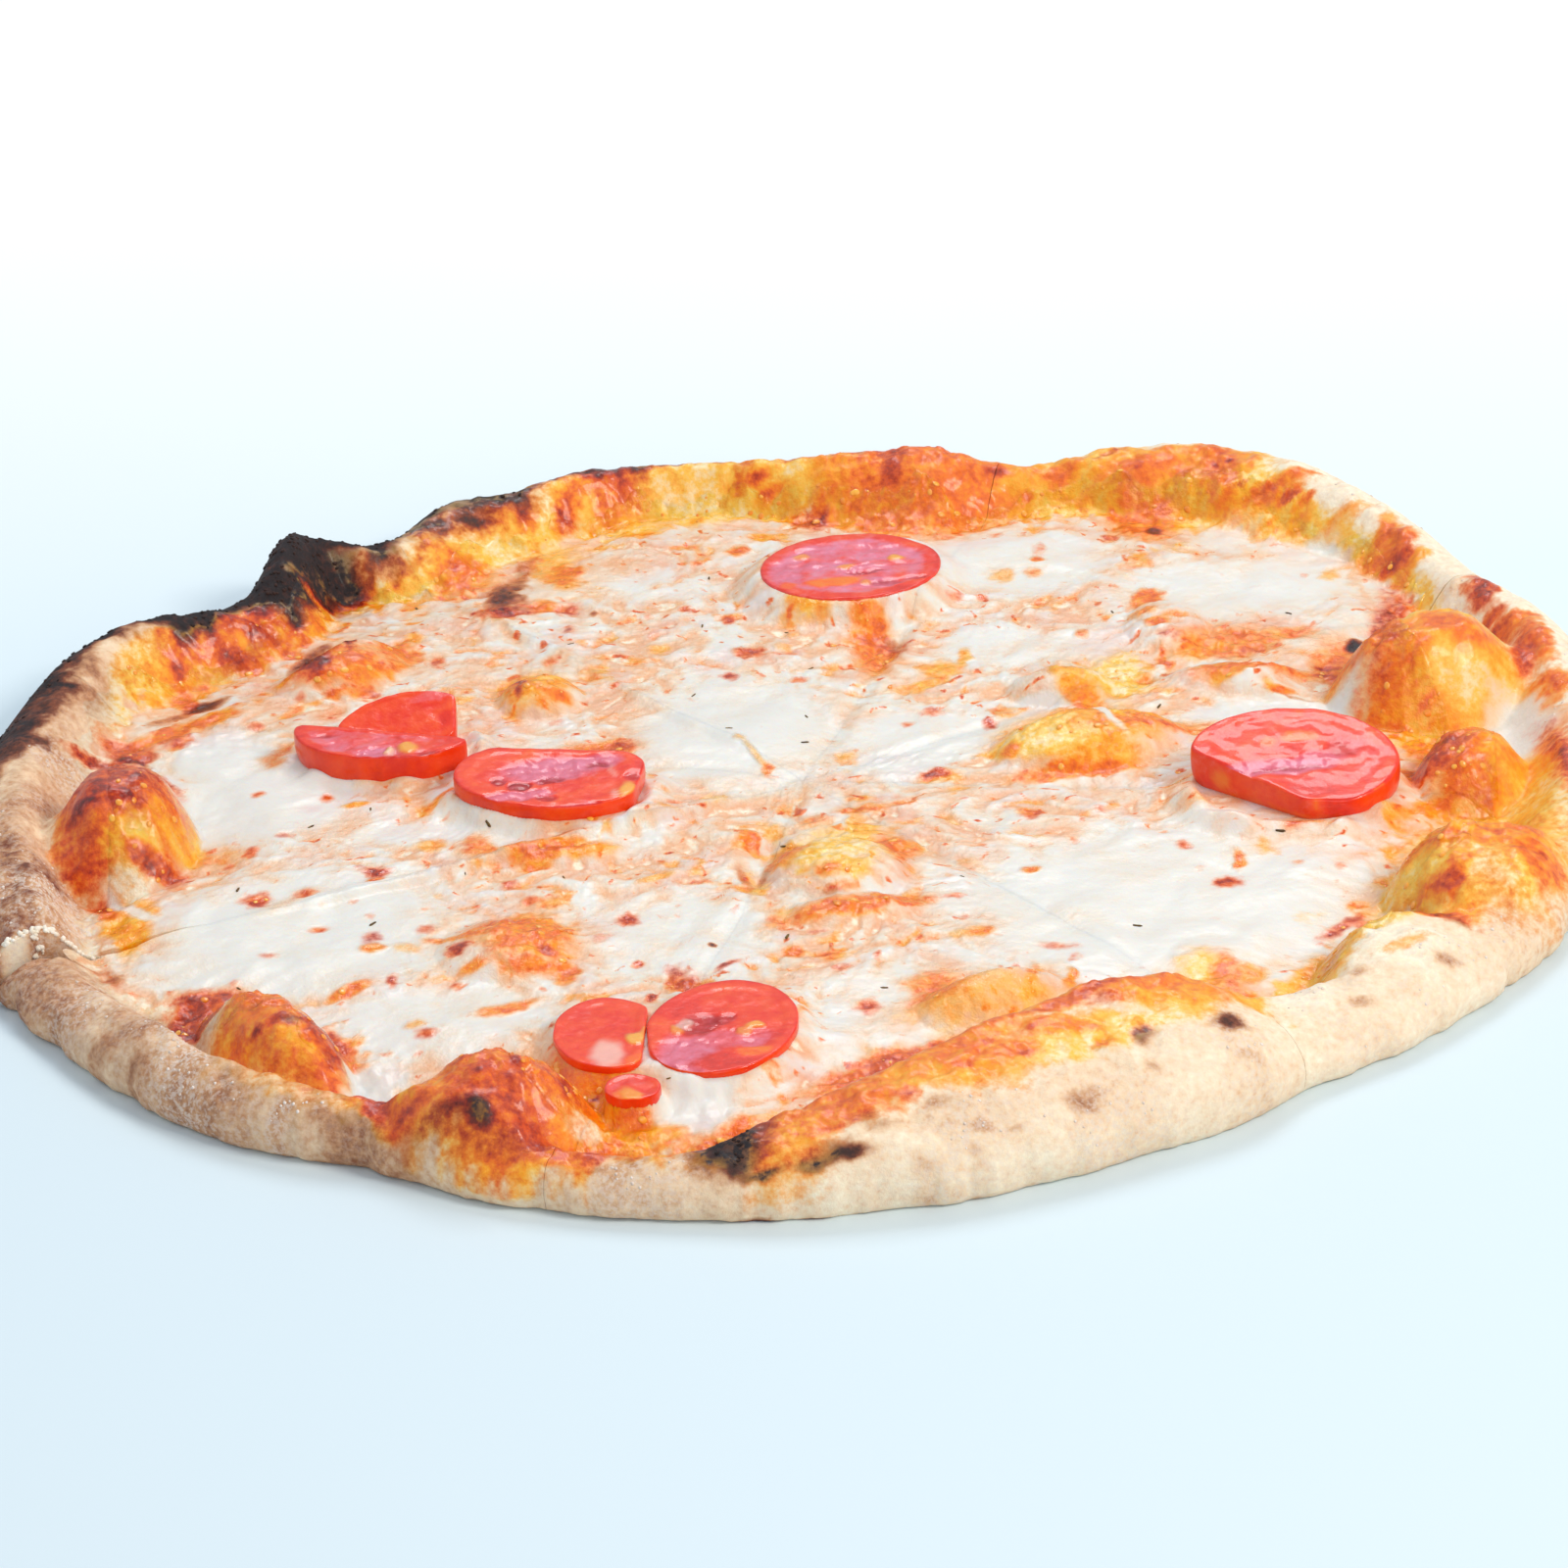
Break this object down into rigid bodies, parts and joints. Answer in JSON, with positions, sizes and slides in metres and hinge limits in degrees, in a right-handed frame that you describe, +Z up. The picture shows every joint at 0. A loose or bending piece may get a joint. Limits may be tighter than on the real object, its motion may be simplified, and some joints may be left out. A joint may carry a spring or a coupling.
{
  "type": "pizza",
  "caption": "Whole baked margherita pizza with a puffed, bubbled rim, melted cheese and cherry tomato pieces, cut into slices and left lying whole.",
  "frame": {"origin": "middle of the pizza's bounding box, at the table", "axes": "+Z up from the table, +X to the right and -Y towards the viewer"},
  "size_m": [0.321, 0.305, 0.0215],
  "materials": {
    "crust": "baked wheat crust, dry and floury with glossy oiled bubbles",
    "cheese": "melted mozzarella with oil and tomato sauce, satin to glossy",
    "tomato": "cut cherry tomato, wet and glossy"
  },
  "bodies": {
    "root": {"crust_1": "crust", "crust_2": "crust", "crust_3": "crust", "crust_4": "crust", "crust_5": "crust", "crust_6": "crust", "crust_7": "crust", "crust_8": "crust", "cheese_1": "cheese", "cheese_2": "cheese", "cheese_3": "cheese", "cheese_4": "cheese", "cheese_5": "cheese", "cheese_6": "cheese", "cheese_7": "cheese", "cheese_8": "cheese", "tomato_back": "tomato", "tomato_left_front": "tomato", "tomato_left_back": "tomato", "tomato_centre": "tomato", "tomato_right": "tomato", "tomato_front_left": "tomato", "tomato_front_right": "tomato", "tomato_front_seed": "tomato"}
  },
  "joints": []
}
